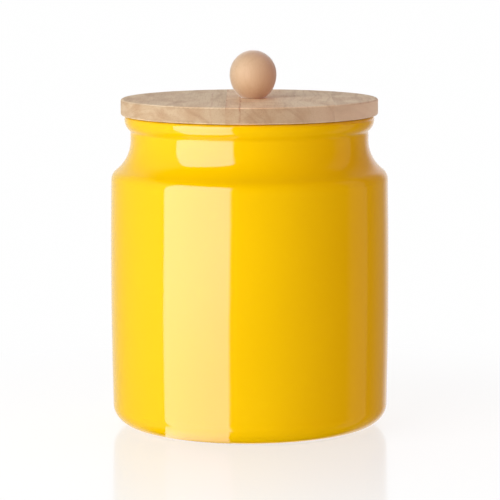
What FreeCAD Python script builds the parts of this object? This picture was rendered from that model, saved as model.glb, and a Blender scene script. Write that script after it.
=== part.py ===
import FreeCAD, Part
import math
import os

# Kitchen canister: a glazed stoneware jar and a wooden lid with a plug, a lipped seal
# and a ball knob. Millimetres, +Z up. The origin is the centre of the foot, on the
# surface that the jar stands on, and heights are measured from that surface.

# Jar, outside
body_diameter = 148.8  # across the widest part of the belly
jar_height = 166.85  # from the surface that it stands on to the rim
widest_height = 78.0  # where the belly is widest
belly_draw_in = 0.5  # what the belly loses in radius up to the shoulder
shoulder_radius = 7.0
neck_step = 10.9  # how far the neck is drawn in from the belly
cove_radius = 19.7  # hollow between the shoulder and the neck
neck_straight = 3.8  # upright stretch of the neck
flare_radius = 2.3  # hollow under the bead
bead_overhang = 3.1  # how far the rim's bead stands out from the neck
bead_radius = 8.0  # underside of the bead
rim_round = 2.0  # from the bead up to the rim
base_corner_width = 12.3
base_corner_height = 11.0

# Jar, foot and inside
wall = 5.0
floor_thickness = 6.0
inside_corner = 12.0  # between the floor and the wall
mouth_edge_round = 1.5
foot_height = 0.8  # bare clay below the glaze line
foot_set_back = 1.6  # from the glaze line in to the foot ring
foot_width = 5.0
foot_chamfer = 0.4
recess_depth = 2.2  # hollow under the floor, inside the foot ring
recess_round = 1.2

# Lid board
lid_gap = 0.25  # between the rim and the underside of the lid
lid_overhang = 1.85  # how far the lid stands out from the bead
flange_thickness = 8.7
plug_depth = 9.3
plug_clearance = 1.6  # between the plug and the mouth
lid_edge_round = 1.2
plug_chamfer = 1.0
first_glue_line = -12.2  # X of the joint between the left and the middle stave
stave_width = 56.2

# Seal, in the plug's groove
groove_land = 1.7  # wood left above the groove, and as much below it
groove_depth = 1.9
seal_play = 0.08  # between the seal and the groove, all round
band_inset = 0.3  # from the plug's surface in to the seal's band
lip_count = 3
lip_gap = 0.3  # between the lips and the mouth
lip_root_share = 0.36  # of the spacing of the lips
lip_tip = 0.4  # thickness of a lip at its tip
lip_rise = 0.5  # how far a lip is bent up

# Knob
knob_diameter = 24.9
knob_height = 25.5
knob_crown = 12.8  # from the widest part of the knob to its top
knob_seat_diameter = 11.8
knob_offset = 2.0  # X of the knob's axis

# Screw, up through the lid into the knob
screw_diameter = 4.0
screw_length = 30.0
screw_point = 4.0
screw_clearance = 0.05  # round the screw in its holes
head_diameter = 7.8
head_rim = 0.4  # upright edge of the head
head_recess = 0.3  # how deep the head lies in the plug
pilot_overrun = 1.0  # hole left past the screw's point
slot_length = 4.2
slot_width = 0.9
slot_depth = 1.6

cut_overrun = 1.0  # how far a cut runs past the face that it opens
same_place = 0.0001  # two points of an outline this near are one

quarter_turn = math.pi / 2
half_turn = math.pi
full_turn_degrees = 360
up = FreeCAD.Vector(0, 0, 1)
origin = FreeCAD.Vector(0, 0, 0)

# Jar levels and radii that other pieces follow
belly_radius = body_diameter / 2
neck_radius = belly_radius - neck_step
mouth_radius = neck_radius - wall
bead_edge = neck_radius + bead_overhang

# Lid levels and radii
lid_radius = bead_edge + lid_overhang
lid_under = jar_height + lid_gap
lid_top = lid_under + flange_thickness
plug_bottom = lid_under - plug_depth
plug_radius = mouth_radius - plug_clearance
groove_top = lid_under - groove_land
groove_bottom = plug_bottom + groove_land
groove_radius = plug_radius - groove_depth


def point(radius, height):
    """A point of an outline, in the plane of X and Z."""
    return FreeCAD.Vector(radius, 0, height)


def on_circle(middle, radius, angle):
    """The point of a circle at an angle, counted from outwards towards up."""
    return middle + point(radius * math.cos(angle), radius * math.sin(angle))


class Outline:
    """Half of a turned piece, drawn from point to point in the plane of X and Z."""

    def __init__(self, start):
        self.edges = []
        self.start = start
        self.last = start

    def add(self, curve, end):
        self.edges.append(curve.toShape())
        self.last = end

    def line(self, *ends):
        for end in ends:
            self.add(Part.LineSegment(self.last, end), end)

    def arc(self, middle, radius, start, end):
        """A round stretch between two angles, with a straight line to where it starts."""
        first = on_circle(middle, radius, start)
        last = on_circle(middle, radius, end)
        if not self.last.isEqual(first, same_place):
            self.line(first)
        self.add(Part.Arc(first, on_circle(middle, radius, (start + end) / 2), last), last)

    def elliptic(self, corner, end, turn=quarter_turn):
        """A stretch of an ellipse that touches both sides of a corner."""
        curve = Part.BezierCurve()
        curve.setPoles([self.last, corner, end])
        curve.setWeight(2, math.cos(turn / 2))
        self.add(curve, end)

    def turned(self):
        """The solid that the closed outline makes round the upright axis."""
        self.line(self.start)
        return Part.Face(Part.Wire(self.edges)).revolve(origin, up, full_turn_degrees)


def below_touching(upper, radius, apart):
    """The middle of a lower circle at this radius, as far from the upper one as they touch."""
    return point(radius, upper.z - math.sqrt(apart**2 - (upper.x - radius) ** 2))


def direction(start, end):
    return math.atan2(end.z - start.z, end.x - start.x)


class WallCircles:
    """The circles of the jar's outside, from the rim down, each touching the next."""

    def __init__(self):
        self.bead = point(bead_edge - bead_radius, jar_height - rim_round)
        self.rim = point(bead_edge - rim_round, self.bead.z)
        self.flare = below_touching(
            self.bead, neck_radius + flare_radius, bead_radius + flare_radius
        )
        self.cove = point(neck_radius + cove_radius, self.flare.z - neck_straight)
        self.shoulder = below_touching(
            self.cove,
            belly_radius - belly_draw_in - shoulder_radius,
            cove_radius + shoulder_radius,
        )
        rise = self.shoulder.z - widest_height
        self.belly_curve = belly_draw_in / 2 + shoulder_radius + rise**2 / (2 * belly_draw_in)
        self.belly = point(belly_radius - self.belly_curve, widest_height)
        self.bead_start = direction(self.bead, self.flare)
        self.shoulder_end = direction(self.shoulder, self.cove)
        self.shoulder_start = direction(self.belly, self.shoulder)
        self.low_angle = self.belly_angle(foot_height + base_corner_height, 0)

    def belly_angle(self, height, inset):
        """Angle of the belly's curve at a height, this far inside the outside."""
        return math.asin((height - self.belly.z) / (self.belly_curve - inset))


def corner_below(end, angle, level):
    """Where the tangent at a circle's lower end, at this angle, meets a level."""
    return point(end.x + (end.z - level) * math.tan(angle), level)


def draw_foot(outline, glaze_edge):
    """From the hollow under the floor, round the foot ring, to the glaze line."""
    outer = glaze_edge - foot_set_back
    inner = outer - foot_width
    hollow = point(inner - recess_round, recess_depth - recess_round)
    outline.arc(hollow, recess_round, quarter_turn, 0)
    outline.line(
        point(inner, foot_chamfer),
        point(inner + foot_chamfer, 0),
        point(outer - foot_chamfer, 0),
        point(outer, foot_chamfer),
        point(outer, foot_height),
        point(glaze_edge, foot_height),
    )


def draw_outside(outline, circles):
    """From the belly up over the shoulder, the neck and the bead to the rim."""
    outline.arc(circles.belly, circles.belly_curve, circles.low_angle, circles.shoulder_start)
    outline.arc(circles.shoulder, shoulder_radius, circles.shoulder_start, circles.shoulder_end)
    outline.arc(circles.cove, cove_radius, circles.shoulder_end + half_turn, half_turn)
    outline.arc(circles.flare, flare_radius, half_turn, circles.bead_start + half_turn)
    outline.arc(circles.bead, bead_radius, circles.bead_start, 0)
    outline.arc(circles.rim, rim_round, 0, quarter_turn)


def draw_inside(outline, circles):
    """From the rim down the mouth and the wall, one wall inside the outside, to the floor."""
    mouth = point(mouth_radius + mouth_edge_round, jar_height - mouth_edge_round)
    floor_level = recess_depth + floor_thickness
    low_angle = circles.belly_angle(floor_level + inside_corner, wall)
    outline.arc(mouth, mouth_edge_round, quarter_turn, half_turn)
    outline.arc(circles.cove, cove_radius + wall, half_turn, circles.shoulder_end + half_turn)
    outline.arc(
        circles.shoulder, shoulder_radius - wall, circles.shoulder_end, circles.shoulder_start
    )
    outline.arc(circles.belly, circles.belly_curve - wall, circles.shoulder_start, low_angle)
    corner = corner_below(outline.last, low_angle, floor_level)
    outline.elliptic(corner, point(corner.x - inside_corner, floor_level))
    outline.line(point(0, floor_level))


def jar():
    """The stoneware jar: foot ring, belly, shoulder, neck, beaded rim and the inside."""
    circles = WallCircles()
    belly_end = on_circle(circles.belly, circles.belly_curve, circles.low_angle)
    corner = corner_below(belly_end, circles.low_angle, foot_height)
    outline = Outline(point(0, recess_depth))
    draw_foot(outline, corner.x - base_corner_width)
    outline.elliptic(corner, belly_end)
    draw_outside(outline, circles)
    draw_inside(outline, circles)
    return outline.turned()


def lid_blank():
    """The lid before its staves are told apart: a flange and a grooved plug."""
    edge = lid_radius - lid_edge_round
    outline = Outline(point(0, plug_bottom))
    outline.line(
        point(plug_radius - plug_chamfer, plug_bottom),
        point(plug_radius, plug_bottom + plug_chamfer),
        point(plug_radius, groove_bottom),
        point(groove_radius, groove_bottom),
        point(groove_radius, groove_top),
        point(plug_radius, groove_top),
        point(plug_radius, lid_under),
    )
    outline.arc(point(edge, lid_under + lid_edge_round), lid_edge_round, -quarter_turn, 0)
    outline.arc(point(edge, lid_top - lid_edge_round), lid_edge_round, 0, quarter_turn)
    outline.line(point(0, lid_top))
    return outline.turned().cut(screw_hole())


def lid_staves():
    """The lid's three staves, glued edge to edge, with their grain from front to back."""
    blank = lid_blank()
    reach = lid_radius + cut_overrun
    edges = [-reach, first_glue_line, first_glue_line + stave_width, reach]
    staves = {}
    for name, left, right in zip(("left", "middle", "right"), edges, edges[1:]):
        slab = Part.makeBox(
            right - left,
            2 * reach,
            lid_top - plug_bottom + 2 * cut_overrun,
            FreeCAD.Vector(left, -reach, plug_bottom - cut_overrun),
        )
        staves["lid_stave_" + name] = blank.common(slab)
    return staves


def seal_ring():
    """A band in the plug's groove, with lips that the mouth bends up."""
    low = groove_bottom + seal_play
    high = groove_top - seal_play
    inner = groove_radius + seal_play
    band = plug_radius - band_inset
    tip = mouth_radius - lip_gap
    spacing = (high - low) / lip_count
    root_half = spacing * lip_root_share / 2

    outline = Outline(point(inner, low))
    outline.line(point(band, low))
    for lip in range(lip_count):
        root = low + (lip + 1 / 2) * spacing - lip_rise / 2
        end = root + lip_rise
        outline.line(
            point(band, root - root_half),
            point(tip, end - lip_tip / 2),
            point(tip, end + lip_tip / 2),
            point(band, root + root_half),
        )
    outline.line(point(band, high), point(inner, high))
    return outline.turned()


def on_knob_axis(shape):
    """A shape turned round the upright axis, moved to the knob's axis."""
    return shape.translated(FreeCAD.Vector(knob_offset, 0, 0))


def turned_screw(grown, below, past):
    """The screw without its slots, grown all round, and longer below and past its point."""
    head = head_diameter / 2 + grown
    shank = screw_diameter / 2 + grown
    level = plug_bottom + head_recess
    rim = level + head_rim + grown
    tip = level + screw_length + past
    outline = Outline(point(0, level - below))
    outline.line(
        point(head, level - below),
        point(head, rim),
        point(shank, rim + head - shank),
        point(shank, tip - screw_point),
        point(0, tip),
    )
    return on_knob_axis(outline.turned())


def screw_hole():
    """What the screw takes out of the lid and the knob."""
    return turned_screw(screw_clearance, head_recess + cut_overrun, pilot_overrun)


def knob_screw():
    """Countersunk wood screw with a crossed slot, its head in the plug's underside."""
    screw = turned_screw(0, 0, 0)
    level = plug_bottom + head_recess
    for length, width in ((slot_length, slot_width), (slot_width, slot_length)):
        slot = Part.makeBox(
            length,
            width,
            slot_depth + cut_overrun,
            FreeCAD.Vector(-length / 2, -width / 2, level - cut_overrun),
        )
        screw = screw.cut(on_knob_axis(slot))
    return screw


def knob():
    """Turned ball, a little taller than wide, flat where it sits on the lid."""
    radius = knob_diameter / 2
    seat = knob_seat_diameter / 2
    top = lid_top + knob_height
    widest = top - knob_crown
    turn = math.acos(seat / radius)
    lower_half_height = (widest - lid_top) / math.sin(turn)
    outline = Outline(point(0, lid_top))
    outline.line(point(seat, lid_top))
    outline.elliptic(
        point(radius, widest - lower_half_height * math.tan(turn / 2)), point(radius, widest), turn
    )
    outline.elliptic(point(radius, top), point(0, top))
    return on_knob_axis(outline.turned()).cut(screw_hole())


def main():
    pieces = {
        "jar": jar(),
        "seal_ring": seal_ring(),
        "knob": knob(),
        "knob_screw": knob_screw(),
        **lid_staves(),
    }
    os.makedirs("parts", exist_ok=True)
    for name, shape in pieces.items():
        shape.exportStep(os.path.join("parts", name + ".step"))
        print(name, "solids", len(shape.Solids), "volume", round(shape.Volume))


if __name__ == "__main__":
    main()
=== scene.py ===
import math

import bpy
from mathutils import Matrix, Vector
from mathutils.geometry import interpolate_bezier


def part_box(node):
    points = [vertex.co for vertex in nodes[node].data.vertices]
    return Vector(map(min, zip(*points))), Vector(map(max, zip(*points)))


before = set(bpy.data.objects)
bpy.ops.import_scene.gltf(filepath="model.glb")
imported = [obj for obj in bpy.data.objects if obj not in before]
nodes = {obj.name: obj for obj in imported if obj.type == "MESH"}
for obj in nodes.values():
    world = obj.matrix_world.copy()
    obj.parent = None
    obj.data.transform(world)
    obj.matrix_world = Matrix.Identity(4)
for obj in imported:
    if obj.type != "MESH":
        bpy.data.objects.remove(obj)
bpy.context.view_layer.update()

metre_in_mm = 1000.0
half_turn, full_turn = 180.0, 360.0  # degrees
lid_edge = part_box("lid_stave_middle")[1].y * metre_in_mm  # the lid's radius
screw_axis = sum(corner.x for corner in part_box("knob_screw")) / 2.0 * metre_in_mm  # its X


def paint(r, g, b):
    return (r, g, b, 1.0)


def grey(level):
    return paint(level, level, level)


black = grey(0.0)
white = grey(1.0)


class Value:
    """A node's output that takes part in plain arithmetic."""

    def __init__(self, finish, socket):
        self.finish = finish
        self.socket = socket

    def __getitem__(self, name):
        """Another output of the same node."""
        return Value(self.finish, self.socket.node.outputs[name])

    def math(self, operation, *others):
        return self.finish.math(operation, self, *others)

    def __add__(self, other):
        return self.math("ADD", other)

    def __radd__(self, other):
        return self.finish.math("ADD", other, self)

    def __sub__(self, other):
        return self.math("SUBTRACT", other)

    def __rsub__(self, other):
        return self.finish.math("SUBTRACT", other, self)

    def __mul__(self, other):
        return self.math("MULTIPLY", other)

    def __rmul__(self, other):
        return self.finish.math("MULTIPLY", other, self)

    def __truediv__(self, other):
        return self.math("DIVIDE", other)

    def __rtruediv__(self, other):
        return self.finish.math("DIVIDE", other, self)

    def __pow__(self, other):
        return self.math("POWER", other)

    def __neg__(self):
        return self.math("MULTIPLY", -1.0)

    def __abs__(self):
        return self.math("ABSOLUTE")


def from_axis(across, along):
    """How far a point is from an axis, from its distances along the two other axes."""
    return (across * across + along * along).math("SQRT")


class Finish:
    """The nodes of one material or of the world, added one call at a time."""

    def __init__(self, owner):
        self.owner = owner
        owner.use_nodes = True
        self.tree = owner.node_tree
        self.tree.nodes.clear()

    def add(self, kind, settings=None, sockets=None):
        """One node. Settings come first, then the values or links of its sockets."""
        node = self.tree.nodes.new("ShaderNode" + kind)
        for name, value in (settings or {}).items():
            if name == "stops":
                self.set_stops(node.color_ramp, value)
            else:
                setattr(node, name, value)
        for name, value in (sockets or {}).items():
            if isinstance(value, Value):
                self.tree.links.new(value.socket, node.inputs[name])
            else:
                node.inputs[name].default_value = value
        return Value(self, node.outputs[0]) if node.outputs else None

    def set_stops(self, ramp, stops):
        while len(ramp.elements) > 1:
            ramp.elements.remove(ramp.elements[-1])
        for k, (place, colour) in enumerate(stops):
            stop = ramp.elements[0] if k == 0 else ramp.elements.new(place)
            stop.position = place
            stop.color = colour

    def math(self, operation, *values):
        return self.add("Math", {"operation": operation}, dict(enumerate(values)))

    def mix(self, share, first, second):
        """Colours: first where share is 0, second where it is 1."""
        return self.add("Mix", {"data_type": "RGBA"}, {0: share, 6: first, 7: second})[2]

    def tint(self, share, first, second):
        """Colours multiplied, by as much as share says."""
        settings = {"data_type": "RGBA", "blend_type": "MULTIPLY"}
        return self.add("Mix", settings, {0: share, 6: first, 7: second})[2]

    def fade(self, value, low, high, start=0.0, end=1.0):
        """Start below low, end above high, and a smooth change between."""
        return self.add(
            "MapRange",
            {"interpolation_type": "SMOOTHSTEP"},
            {"Value": value, "From Min": low, "From Max": high, "To Min": start, "To Max": end},
        )

    def place_in_mm(self):
        """X, Y and Z of the point on the piece, in millimetres."""
        place = self.add("TexCoord")["Object"]
        scaled = self.add(
            "VectorMath", {"operation": "SCALE"}, {"Vector": place, "Scale": metre_in_mm}
        )
        return self.parts(scaled)

    def parts(self, vector):
        split = self.add("SeparateXYZ", None, {"Vector": vector})
        return split["X"], split["Y"], split["Z"]

    def vector(self, x, y, z):
        return self.add("CombineXYZ", None, {"X": x, "Y": y, "Z": z})

    def stretched(self, x, y, z, sizes, seed=0.0):
        """A point for noise whose features have these sizes along X, Y and Z."""
        return self.vector(x / sizes[0] + seed, y / sizes[1] + seed * 0.7, z / sizes[2] - seed)

    def noise(self, where, detail=2.0, roughness=0.5):
        """Smooth noise about 0.5, in features about one unit of where across."""
        return self.add(
            "TexNoise",
            None,
            {"Vector": where, "Scale": 1.0, "Detail": detail, "Roughness": roughness},
        )

    def bump(self, height, distance, under=None):
        """Relief this many metres high, over the relief under it."""
        sockets = {"Height": height, "Distance": distance}
        if under is not None:
            sockets["Normal"] = under
        return self.add("Bump", None, sockets)

    def glow(self, colour, strength):
        """A shader that gives light."""
        return self.add("Emission", None, {"Color": colour, "Strength": strength})

    def blend(self, share, first, second):
        """Shaders: first where share is 0, second where it is 1."""
        return self.add("MixShader", None, {0: share, 1: first, 2: second})

    def close(self, shader):
        """The material, ended with this shader."""
        self.add("OutputMaterial", None, {"Surface": shader})
        return self.owner

    def surface(self, **sockets):
        """The Principled shader and the output. Keywords use _ for a space."""
        named = {name.replace("_", " "): value for name, value in sockets.items()}
        return self.close(self.add("BsdfPrincipled", None, named))


def finish_for(name):
    return Finish(bpy.data.materials.new(name))


def put_on(node, material):
    slots = nodes[node].data.materials
    slots.clear()
    slots.append(material)


def glaze():
    """Glossy yellow glaze over off-white stoneware, which shows on the foot ring."""
    deep_yellow = paint(0.805, 0.494, 0.0002)
    bright_yellow = paint(0.835, 0.522, 0.0006)
    thin_yellow = paint(0.850, 0.550, 0.0010)
    dark_clay = paint(0.70, 0.64, 0.55)
    pale_clay = paint(0.88, 0.85, 0.79)
    clay_ends, glaze_begins = 0.55, 0.72  # mm above the table
    ripple_height, grit_height = 0.00002, 0.00012

    f = finish_for("yellow glaze")
    x, y, z = f.place_in_mm()
    cloud = f.noise(f.stretched(x, y, z, (38, 38, 60)), 2.0)
    pool = f.noise(f.stretched(x, y, z, (7, 7, 9), 3.1), 2.0)
    thin = f.fade(pool, 0.62, 0.80)
    colour = f.mix(cloud, deep_yellow, bright_yellow)
    colour = f.mix(thin * 0.25, colour, thin_yellow)

    edge = f.noise(f.stretched(x, y, z, (2.5, 2.5, 2.5), 5.0), 3.0)
    bare = 1.0 - f.fade(z + (edge - 0.5) * 0.3, clay_ends, glaze_begins)
    grog = f.noise(f.stretched(x, y, z, (0.35, 0.35, 0.35), 9.0), 3.0, 0.65)
    clay = f.mix(f.fade(grog, 0.35, 0.7), dark_clay, pale_clay)
    colour = f.mix(bare, colour, clay)

    ripple = f.noise(f.stretched(x, y, z, (11, 11, 14), 1.7), 1.0)
    peel = f.noise(f.stretched(x, y, z, (1.6, 1.6, 1.6), 2.3), 1.0)
    skin = f.bump(ripple + peel * 0.04, ripple_height)
    gritty = f.bump(grog * bare, grit_height, skin)
    return f.surface(
        Base_Color=colour,
        Roughness=0.08 + bare * 0.75 + (pool - 0.5) * 0.02,
        Normal=gritty,
        IOR=1.62,
        Specular_Tint=paint(1.0, 0.50, 0.96),
    )


def wood(
    name,
    pith,
    early,
    late,
    seed,
    grain="Y",
    ring_width=2.4,
    figure=1.0,
    streaks=(),
    pale_band=None,
    edge=None,
    shine=(0.62, 1.4),
    fuzz=0.0,
    mottle=1.0,
):
    """Solid oiled wood: rings round a pith line along the grain, with pores, rays and fibres.

    pith is where that line crosses the piece, figure how strongly the rings show, streaks are
    dark lines (place, width, depth), pale_band a broad paler, more orange band along the grain,
    strong on the top and weak on the rim (place, width, colour), edge the colour towards which
    the board's rim is paled at its sides as painted light, shine the roughness and the index of
    refraction, fuzz the pale bloom of sanded fibres at a low angle, and mottle how strongly the
    other markings show. Sizes are in millimetres.
    """
    slow_bend, quick_bend = 16.0, 2.4  # how far the rings stray from circles
    ring_run = 300.0  # how far along the grain a ring keeps its width
    rays_per_radian, ray_depth, ray_length = 55.0, 9.0, 14.0
    # the pale band: how far it sways, and how strongly it shows on the top and on the rim
    pale_band_bend = 14.0
    pale_band_on_top, pale_band_off_rim = 0.7, 0.55
    patch_shade = paint(0.86, 0.775, 0.705)
    fibre_shade = paint(0.82, 0.75, 0.69)
    ray_colour = paint(0.80, 0.65, 0.49)
    pore_shade = paint(0.66, 0.55, 0.45)
    # painted shade: the lid's side face is tinted darker than its top
    painted_rim_shade = paint(0.765, 0.700, 0.660)
    end_grain_shade = paint(0.74, 0.73, 0.70)
    streak_shade = paint(0.70, 0.44, 0.34)
    relief_height = 0.00005

    f = finish_for(name)
    x, y, z = f.place_in_mm()
    across, along, up = (x, y, z) if grain == "Y" else (x, z, y)

    sway = f.noise(f.stretched(across, along, up, (24, 90, 24), seed), 2.0)
    wobble = f.noise(f.stretched(across, along, up, (5, 34, 5), seed + 4.0), 2.0)
    side = across - pith[0]
    rise = up - pith[1]
    radius = from_axis(side, rise) + (sway - 0.5) * slow_bend + (wobble - 0.5) * quick_bend
    rings = f.noise(f.vector(radius / ring_width + seed, along / ring_run, seed), 1.0, 0.5)
    late_wood = f.fade(rings, 0.46, 0.70)

    pores = f.noise(f.stretched(across, along, up, (0.16, 2.6, 0.16), seed + 1.0), 1.0, 0.4)
    pore = f.fade(pores, 0.60, 0.72)
    fibre = f.noise(f.stretched(across, along, up, (0.6, 18, 0.6), seed + 2.0), 3.0, 0.6)
    round_pith = rise.math("ARCTAN2", side) * rays_per_radian
    rays = f.noise(f.vector(round_pith, radius / ray_depth, along / ray_length + seed), 2.0, 0.7)
    ray = f.fade(rays, 0.58, 0.78)
    patch = f.noise(f.stretched(across, along, up, (10, 26, 10), seed + 6.0), 3.0, 0.55)

    reach = from_axis(x, y)
    rim = f.fade(reach, lid_edge - 0.35, lid_edge - 0.05)

    colour = f.mix(late_wood * figure, early, late)
    # a broad paler, more orange band along the grain, strong on the top and weak on the rim
    if pale_band:
        place, width, pale_band_colour = pale_band
        band = 1.0 - f.fade(abs(x + (sway - 0.5) * pale_band_bend - place), 0.0, width)
        colour = f.mix(band * (pale_band_on_top - rim * pale_band_off_rim), colour, pale_band_colour)
    colour = f.tint(f.fade(patch, 0.40, 0.66) * (0.85 * mottle), colour, patch_shade)
    colour = f.tint(f.fade(fibre, 0.42, 0.72) * (0.55 * mottle), colour, fibre_shade)
    colour = f.mix(ray * (0.28 * mottle), colour, ray_colour)
    colour = f.tint(pore * (0.4 * mottle), colour, pore_shade)
    if grain == "Y":
        end_grain = (y / reach) ** 2.0
        # painted shade: the whole side face is darkened against the top
        colour = f.tint(rim, colour, painted_rim_shade)
        colour = f.tint(rim * end_grain, colour, end_grain_shade)
        # painted light: the rim pales towards its sides, away from the end grain, as if lit from
        # the side
        if edge:
            colour = f.mix(rim * (1.0 - end_grain) * 0.85, colour, edge)
    for place, width, depth in streaks:
        line = 1.0 - f.fade(abs(x + (wobble - 0.5) * quick_bend - place), 0.0, width)
        fading = f.fade(f.noise(f.stretched(x, y, z, (9, 7, 9), place), 2.0), 0.35, 0.62)
        colour = f.tint(line * fading * depth, colour, streak_shade)

    relief = f.bump(fibre * 0.25 - pore * 0.7 - late_wood * 0.2, relief_height)
    roughness, refraction = shine
    return f.surface(
        Base_Color=colour,
        Roughness=roughness + pore * 0.15 + (fibre - 0.5) * 0.12,
        Normal=relief,
        IOR=refraction,
        Sheen_Weight=fuzz,
        Sheen_Roughness=0.4,
    )


def silicone():
    """Milky seal rubber, matt from its mould, with a little dust."""
    dull, milky, dusty = paint(0.72, 0.72, 0.70), paint(0.80, 0.80, 0.78), paint(0.90, 0.90, 0.88)
    dust_height = 0.00001

    f = finish_for("seal silicone")
    x, y, z = f.place_in_mm()
    haze = f.noise(f.stretched(x, y, z, (6, 6, 2), 1.0), 2.0)
    dust = f.noise(f.stretched(x, y, z, (0.3, 0.3, 0.3), 2.0), 2.0, 0.7)
    colour = f.mix(haze, dull, milky)
    colour = f.mix(f.fade(dust, 0.66, 0.76) * 0.4, colour, dusty)
    return f.surface(
        Base_Color=colour,
        Roughness=0.42 + haze * 0.14,
        Normal=f.bump(dust, dust_height),
        IOR=1.41,
    )


def steel():
    """Turned zinc-plated steel, with fine rings round the screw's axis."""
    dark_plate, bright_plate = paint(0.52, 0.53, 0.54), paint(0.68, 0.68, 0.67)
    groove_spacing, groove_height = 0.08, 0.000008  # millimetres, metres

    f = finish_for("screw steel")
    x, y, z = f.place_in_mm()
    radius = from_axis(x - screw_axis, y)
    turned = f.noise(f.vector(radius / groove_spacing, z / groove_spacing, 0.0), 2.0, 0.6)
    plate = f.noise(f.stretched(x, y, z, (1.5, 1.5, 1.5), 4.0), 2.0)
    return f.surface(
        Base_Color=f.mix(plate, dark_plate, bright_plate),
        Metallic=1.0,
        Roughness=0.26 + turned * 0.16,
        Normal=f.bump(turned, groove_height),
    )


def set_camera():
    """The photograph's view: a long lens a little above the lid, looking down 7 degrees."""
    place = (0.00016, -1.5189, 0.2867)
    level, down, roll = math.radians(90.0), math.radians(7.22), math.radians(-0.13)

    data = bpy.data.cameras.new("camera")
    data.sensor_width = 36.0
    data.lens = 205.75
    data.clip_start = 0.05
    data.clip_end = 60.0
    camera = bpy.data.objects.new("camera", data)
    bpy.context.scene.collection.objects.link(camera)
    camera.matrix_world = (
        Matrix.Translation(place)
        @ Matrix.Rotation(level - down, 4, "X")
        @ Matrix.Rotation(roll, 4, "Z")
    )
    bpy.context.scene.camera = camera


def new_card(name, corners, material, **seen):
    """A flat or folded card on the stage, from rows of corners."""
    bpy.ops.object.select_all(action="DESELECT")
    bpy.ops.mesh.primitive_grid_add(x_subdivisions=1, y_subdivisions=len(corners) - 1, size=2.0)
    card = bpy.context.object
    card.name = name
    rows = sorted(card.data.vertices, key=lambda v: (v.co.y, v.co.x))
    for vertex, place in zip(rows, [point for row in corners for point in row]):
        vertex.co = place
    card.data.materials.append(material)
    for kind, on in seen.items():
        setattr(card, "visible_" + kind, on)


def bent_side(places, height):
    """Points along a level curve, from X and Y of its ends and of the two handles between."""
    points = 9
    return interpolate_bezier(*[Vector((x, y, height)) for x, y in places], points)


def lamp_face(name, radiance):
    f = finish_for(name)
    return f.close(f.glow(white, radiance))


def fading_lamp_face(name, radiance, by, low, high, start, end):
    """A lamp's face whose light changes with its height or its reach from the jar's axis, in mm."""
    f = finish_for(name)
    x, y, z = f.place_in_mm()
    place = z if by == "height" else from_axis(x, y)
    level = f.fade(place, low, high, start, end)
    return f.close(f.glow(f.mix(level, black, white), radiance))


def hang_softbox():
    """A tall soft light at the left front: one card lights the room, the others show in the gloss.

    The gloss sees a card with round upper corners, and what a polished table mirrors of it: its
    lower half, a little aslant and weaker, and the table close to the foot. Sizes are in metres.
    """
    distance, left, right, top = 1.0, -0.51, 0.575, 1.02
    round_corner = 0.16
    room_low, room_high = 0.02, 0.94
    room_radiance, gloss_radiance = 4.35, 4.6
    slant_ends, slant = -0.13, -0.03
    weak_below = -180.0  # this one in mm, as the lamp's face takes it
    mirror_depth = -0.03
    # the lit patch by the foot, from its far edge to the foot
    left_side = ((-0.1085, -0.068), (-0.058, -0.0435), (-0.059, -0.0315), (-0.050, 0.021))
    right_side = ((-0.034, -0.1445), (-0.019, -0.092), (-0.0125, -0.0615), (-0.0115, -0.009))
    aim = math.radians(45.0)
    out = Vector((-math.sin(aim), -math.cos(aim), 0.0)) * distance
    side = Vector((math.cos(aim), -math.sin(aim), 0.0))
    only_in_gloss = {"camera": False, "diffuse": False, "shadow": False}

    def level_row(z, inset=0.0, shift=0.0):
        middle = out + Vector((0.0, 0.0, z)) + side * shift
        return middle + side * (left + inset), middle + side * (right - inset)

    rows = [level_row(room_low), level_row(room_high)]
    lamp = lamp_face("soft light", room_radiance)
    new_card("softbox", rows, lamp, camera=False, glossy=False)

    rows = [level_row(0.0)]
    for step in range(0, 91, 15):
        turn = math.radians(step)
        height = top - round_corner + round_corner * math.sin(turn)
        rows.append(level_row(height, round_corner * (1.0 - math.cos(turn))))
    lamp = lamp_face("soft light in the gloss", gloss_radiance)
    new_card("softbox in the gloss", rows, lamp, **only_in_gloss)

    rows = [level_row(0.0), level_row(slant_ends, shift=slant), level_row(-top, shift=slant)]
    lamp = fading_lamp_face(
        "soft light in the table", gloss_radiance, "height", weak_below, 0.0, 0.86, 1.0
    )
    new_card("softbox in the table", rows, lamp, **only_in_gloss)

    rows = list(zip(bent_side(left_side, mirror_depth), bent_side(right_side, mirror_depth)))
    lamp = fading_lamp_face("table by the foot", gloss_radiance, "reach", 28.0, 95.0, 0.08, 0.78)
    new_card("table by the foot", rows, lamp, **only_in_gloss)


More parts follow.
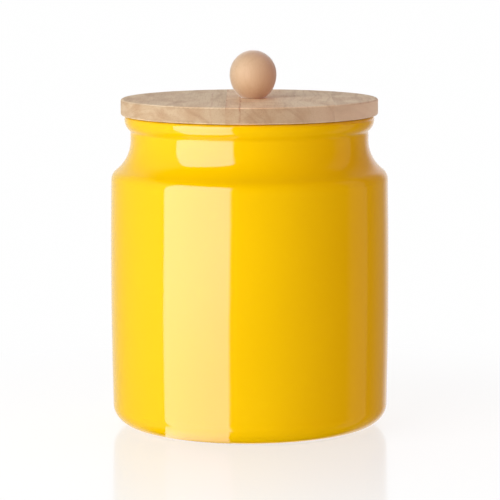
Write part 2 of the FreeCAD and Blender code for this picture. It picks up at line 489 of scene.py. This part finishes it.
def lay_floor():
    """A white table: white to the camera, with a faint shadow and a faint mirror near the foot.

    What it throws back at the object is set apart from what the camera sees, and is stronger
    near the foot at the left.
    """
    table_width, hair = 12.0, 0.00005  # metres: the table lies a hair under the foot

    f = finish_for("white table")
    x, y, _ = f.place_in_mm()
    away = from_axis(x, y)

    def matt_and_lit(shade, glow):
        matt = f.add("BsdfDiffuse", None, {"Color": grey(shade)})
        return f.add("AddShader", None, {0: matt, 1: f.glow(white, glow)})

    def mirror(shade, roughness):
        return f.add("BsdfGlossy", None, {"Color": grey(shade), "Roughness": roughness})

    shadowed = matt_and_lit(shade=0.7, glow=0.48)
    near = f.fade(away, 80.0, 330.0, start=1.0, end=0.0)
    pale = f.blend(1.0 - near * 0.30, shadowed, f.glow(white, 1.0))
    mirrored = f.fade(away, 65.0, 400.0, start=0.23, end=0.04)
    to_camera = f.blend(mirrored, pale, mirror(shade=0.75, roughness=0.12))

    by_foot = f.fade(away, 70.0, 190.0, start=1.0, end=0.0)
    at_left = f.fade(x, -60.0, 60.0, start=1.0, end=0.1)
    weak, strong = matt_and_lit(shade=0.32, glow=0.80), matt_and_lit(shade=0.32, glow=0.92)
    bounce = f.blend(by_foot * at_left, weak, strong)
    to_object = f.blend(0.3, bounce, mirror(shade=0.8, roughness=0.35))

    seen = f.add("LightPath")["Is Camera Ray"]
    material = f.close(f.blend(seen, to_object, to_camera))

    bpy.ops.object.select_all(action="DESELECT")
    bpy.ops.mesh.primitive_plane_add(size=table_width, location=(0.0, 0.0, -hair))
    floor = bpy.context.object
    floor.name = "table"
    floor.data.materials.append(material)
    floor.visible_glossy = False


def light_room():
    """The room: white to the camera, an even fill, and what the gloss mirrors.

    The fill is warm at the right and brighter behind and above. The gloss sees the white
    backdrop behind the jar, a dim wall at the left, a dim strip at the right and a dark room in
    front.
    """
    seen_by_azimuth = (
        (-180, 1.25), (-173, 1.25), (-169, 0.9), (-160, 0.9), (-145, 0.24), (-130, 0.13),
        (-119, 0.03), (-114, 0.03), (-113, 0.22), (-94, 0.14), (-86, 0.0), (74, 0.0),
        (79, 0.31), (127, 0.31), (141, 0.40), (163, 0.80), (169, 0.80), (173, 1.25), (180, 1.25),
    )
    warm_light = paint(1.02, 0.51, 0.47)
    warm_from = (0.906, -0.423)  # X and Y: the right, 25 degrees towards the viewer
    back_light, top_light = grey(0.9), grey(0.85)
    top_from = (0.6, 0.8)  # Y and Z: above and behind

    world = bpy.data.worlds.new("studio")
    bpy.context.scene.world = world
    f = Finish(world)
    x, y, z = f.parts(f.add("TexCoord")["Generated"])

    around = (-x).math("ARCTAN2", -y) / math.tau + 0.5
    stops = [((a + half_turn) / full_turn, grey(level)) for a, level in seen_by_azimuth]
    mirrored = f.add("ValToRGB", {"stops": stops}, {"Fac": around})
    level_with_jar = f.fade(abs(z), 0.55, 0.74, start=1.0, end=0.0)
    mirrored = f.mix(level_with_jar, black, mirrored)

    even = f.fade(abs(z), 0.30, 0.75, start=0.30, end=0.09)
    warm = x * warm_from[0] + y * warm_from[1]
    high = y * top_from[0] + z * top_from[1]
    fill = f.mix(f.fade(warm, 0.35, 0.90), f.vector(even, even, even), warm_light)
    fill = f.mix(f.fade(y, 0.40, 0.85), fill, back_light)
    fill = f.mix(f.fade(high, 0.60, 0.92), fill, top_light)

    path = f.add("LightPath")
    seen = path["Is Camera Ray"].math("MAXIMUM", path["Is Transmission Ray"])
    colour = f.mix(path["Is Glossy Ray"], fill, mirrored)
    colour = f.mix(seen, colour, white)
    sky = f.add("Background", None, {"Color": colour, "Strength": 1.0})
    f.add("OutputWorld", None, {"Surface": sky})


bpy.context.scene.view_settings.view_transform = "Standard"

set_camera()
hang_softbox()
lay_floor()
light_room()

put_on("jar", glaze())
put_on(
    "lid_stave_left",
    wood(
        "lid wood left",
        pith=(-52.0, 128.0),
        early=paint(0.780, 0.632, 0.428),
        late=paint(0.678, 0.512, 0.328),
        seed=1.3,
        streaks=((-19.5, 0.8, 0.5),),
    ),
)
put_on(
    "lid_stave_middle",
    wood(
        "lid wood middle",
        pith=(-22.0, 140.0),
        early=paint(0.800, 0.656, 0.450),
        late=paint(0.678, 0.519, 0.341),
        seed=5.9,
        # a paler, more orange band down the middle of the top, under the knob
        pale_band=(0.0, 26.0, paint(0.92, 0.640, 0.400)),
        # painted light on the rim's sides, slight on this board
        edge=paint(0.84, 0.72, 0.52),
        streaks=((-12.2, 0.9, 0.8), (-4.8, 0.8, 0.8)),
    ),
)
put_on(
    "lid_stave_right",
    wood(
        "lid wood right",
        pith=(28.0, 128.0),
        early=paint(0.800, 0.667, 0.471),
        late=paint(0.678, 0.528, 0.354),
        seed=9.4,
        # painted light: the rim's right end is paled as if lit from the right
        edge=paint(0.86, 0.75, 0.53),
    ),
)
put_on(
    "knob",
    wood(
        "knob wood",
        pith=(-24.0, 26.0),
        early=paint(0.625, 0.432, 0.262),
        late=paint(0.567, 0.368, 0.206),
        seed=3.3,
        grain="Z",
        ring_width=3.0,
        figure=0.25,
        shine=(0.55, 1.5),
        fuzz=1.0,
        mottle=0.45,
    ),
)
put_on("seal_ring", silicone())
put_on("knob_screw", steel())
